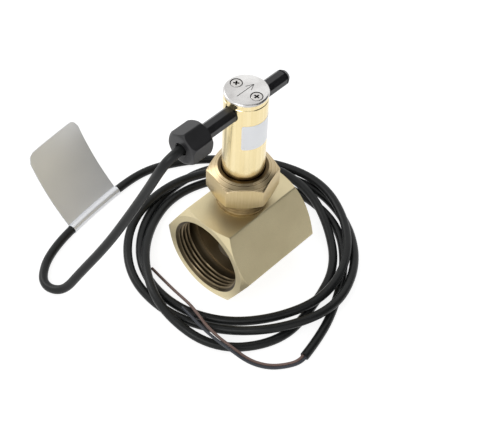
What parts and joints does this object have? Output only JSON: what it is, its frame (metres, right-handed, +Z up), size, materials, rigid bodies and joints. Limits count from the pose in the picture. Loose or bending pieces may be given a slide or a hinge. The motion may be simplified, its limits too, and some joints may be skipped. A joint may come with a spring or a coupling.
{
  "type": "paddle flow switch",
  "caption": "Brass paddle flow switch: hexagonal tee with threaded ends, hinged paddle with magnet, and a reed contact in a sliding rod with its cable.",
  "frame": {"origin": "middle of the tee's bottom flat", "axes": "+X along the bore in the direction of flow, +Z up along the switch tube, +Y to the left of the flow"},
  "size_m": [0.1572, 0.1867, 0.1247],
  "materials": {
    "blasted_brass": "fine blasted matte",
    "dark_brass": "turned, dull",
    "nut_brass": "turned satin",
    "gasket_fibre": "pressed fibre",
    "polished_brass": "polished",
    "silver_plate": "satin silver",
    "screw_steel": "bright zinc",
    "white_plastic": "moulded",
    "magnet_ferrite": "ground ferrite",
    "paddle_steel": "rolled stainless",
    "black_plastic": "moulded satin",
    "reed_glass": "clear",
    "lead_wire": "tinned",
    "potting_resin": "cast resin",
    "cable_sheath": "satin PVC",
    "seal_rubber": "matte rubber",
    "tag_film": "silver film",
    "brown_insulation": "satin PVC",
    "blue_insulation": "satin PVC"
  },
  "bodies": {
    "root": {"tee_body": "blasted_brass", "branch_nipple": "dark_brass", "union_nut": "nut_brass", "collar_gasket": "gasket_fibre", "switch_tube": "polished_brass", "clamp_cap": "polished_brass", "arrow_plate": "silver_plate", "cap_screws": "screw_steel", "paddle_carrier": "nut_brass", "axle_pin": "screw_steel", "stop_pins": "screw_steel", "carrier_circlip": "screw_steel", "magnet_seat": "white_plastic", "reset_magnet": "magnet_ferrite"},
    "paddle": {"paddle_lever": "paddle_steel", "lever_magnet": "magnet_ferrite", "paddle_blade": "paddle_steel", "blade_screws": "screw_steel"},
    "contact": {"reed_rod": "black_plastic", "reed_glass": "reed_glass", "reed_leads": "lead_wire", "potting": "potting_resin", "sheath_tail": "cable_sheath", "gland_seal": "seal_rubber", "gland_nut": "black_plastic", "cable_lead": "cable_sheath", "cable_coil": "cable_sheath", "cable_tail": "cable_sheath", "cable_tag": "tag_film", "brown_core": "brown_insulation", "blue_core": "blue_insulation"}
  },
  "joints": [
    {"name": "paddle_swing", "type": "hinge", "parent": "root", "child": "paddle", "pos_m": [0, 0, 0.07], "axis": [0, -1, 0], "range_deg": [0, 20], "stiffness_Nm_per_rad": 0.002, "springref_deg": -28.65},
    {"name": "rod_slide", "type": "slide", "parent": "root", "child": "contact", "axis": [1, 0, 0], "range_m": [-0.005, 0.005]}
  ]
}
